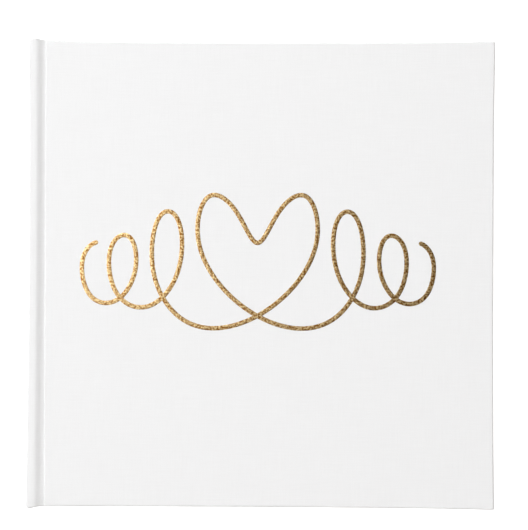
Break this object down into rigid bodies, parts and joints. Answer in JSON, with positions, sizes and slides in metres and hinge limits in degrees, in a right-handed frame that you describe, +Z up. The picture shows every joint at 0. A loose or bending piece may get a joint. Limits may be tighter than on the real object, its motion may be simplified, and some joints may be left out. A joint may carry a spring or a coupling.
{
  "type": "wedding guest book",
  "caption": "Square case-bound guest book with cloth boards, grooved joints, sewn blank sections and a foil flourish on its front cover; it opens flat at the middle.",
  "frame": {"origin": "on the surface the closed book lies on, under the middle of its bounding box", "axes": "+Z up through the front cover, +Y to the head of the book, +X from the spine to the fore edge"},
  "size_m": [0.2134, 0.2156, 0.0191],
  "materials": {
    "book_cloth": "fine white linen book cloth, matt",
    "greyboard": "raw grey bookbinding board",
    "leaf_paper": "smooth uncoated off-white paper",
    "end_paper": "white uncoated endpaper",
    "gauze": "open-weave starched cotton mull",
    "kraft": "brown kraft lining paper",
    "silk": "off-white silk and linen thread",
    "gold_foil": "hot-stamped bright gold foil"
  },
  "bodies": {
    "back_cover": {"back_board": "greyboard", "back_cover_cloth": "book_cloth", "back_joint_cloth": "book_cloth", "back_pastedown": "end_paper"},
    "spine": {"spine_board": "greyboard", "spine_cloth": "book_cloth"},
    "front_cover": {"front_board": "greyboard", "front_cover_cloth": "book_cloth", "front_joint_cloth": "book_cloth", "front_pastedown": "end_paper", "foil_ornament": "gold_foil"},
    "leaves_8": {"section_8": "leaf_paper", "section_thread_8": "silk", "back_flyleaf": "end_paper"},
    "leaves_7": {"section_7": "leaf_paper", "section_thread_7": "silk"},
    "leaves_6": {"section_6": "leaf_paper", "section_thread_6": "silk"},
    "leaves_5": {"section_5": "leaf_paper", "section_thread_5": "silk", "mull": "gauze", "spine_liner": "kraft", "head_band": "silk", "tail_band": "silk"},
    "leaves_4": {"section_4": "leaf_paper", "section_thread_4": "silk"},
    "leaves_3": {"section_3": "leaf_paper", "section_thread_3": "silk"},
    "leaves_2": {"section_2": "leaf_paper", "section_thread_2": "silk"},
    "leaves_1": {"section_1": "leaf_paper", "section_thread_1": "silk", "front_flyleaf": "end_paper"}
  },
  "joints": [
    {"name": "spine_fold", "type": "hinge", "parent": "back_cover", "child": "spine", "pos_m": [-0.104, 0, 0.00275], "axis": [0, -1, 0], "range_deg": [0, 90], "deforming": ["back_joint_cloth"]},
    {"name": "front_cover_fold", "type": "hinge", "parent": "spine", "child": "front_cover", "pos_m": [-0.104, 0, 0.01625], "axis": [0, -1, 0], "range_deg": [0, 90], "deforming": ["front_joint_cloth"]},
    {"name": "leaves_8_slip", "type": "slide", "parent": "back_cover", "child": "leaves_8", "axis": [-1, 0, 0], "range_m": [0, 0.002]},
    {"name": "leaves_7_slip", "type": "slide", "parent": "leaves_8", "child": "leaves_7", "axis": [-1, 0, 0], "range_m": [0, 0.002]},
    {"name": "leaves_6_slip", "type": "slide", "parent": "leaves_7", "child": "leaves_6", "axis": [-1, 0, 0], "range_m": [0, 0.002]},
    {"name": "leaves_5_slip", "type": "slide", "parent": "leaves_6", "child": "leaves_5", "axis": [-1, 0, 0], "range_m": [0, 0.002]},
    {"name": "gutter_fold", "type": "hinge", "parent": "leaves_5", "child": "leaves_4", "pos_m": [-0.10275, 0, 0.0095], "axis": [0, -1, 0], "range_deg": [0, 180], "deforming": ["mull", "spine_liner", "head_band", "tail_band"]},
    {"name": "leaves_3_slip", "type": "slide", "parent": "leaves_4", "child": "leaves_3", "axis": [1, 0, 0], "range_m": [0, 0.002]},
    {"name": "leaves_2_slip", "type": "slide", "parent": "leaves_3", "child": "leaves_2", "axis": [1, 0, 0], "range_m": [0, 0.002]},
    {"name": "leaves_1_slip", "type": "slide", "parent": "leaves_2", "child": "leaves_1", "axis": [1, 0, 0], "range_m": [0, 0.002]}
  ],
  "couplings": [
    {"joint": "spine_fold", "follows": "gutter_fold", "ratio": 0.5},
    {"joint": "front_cover_fold", "follows": "gutter_fold", "ratio": 0.5},
    {"joint": "leaves_8_slip", "follows": "gutter_fold", "m_per_rad": 0.0006366},
    {"joint": "leaves_7_slip", "follows": "gutter_fold", "m_per_rad": 0.0006366},
    {"joint": "leaves_6_slip", "follows": "gutter_fold", "m_per_rad": 0.0006366},
    {"joint": "leaves_5_slip", "follows": "gutter_fold", "m_per_rad": 0.0006366},
    {"joint": "leaves_3_slip", "follows": "gutter_fold", "m_per_rad": 0.0006366},
    {"joint": "leaves_2_slip", "follows": "gutter_fold", "m_per_rad": 0.0006366},
    {"joint": "leaves_1_slip", "follows": "gutter_fold", "m_per_rad": 0.0006366}
  ]
}
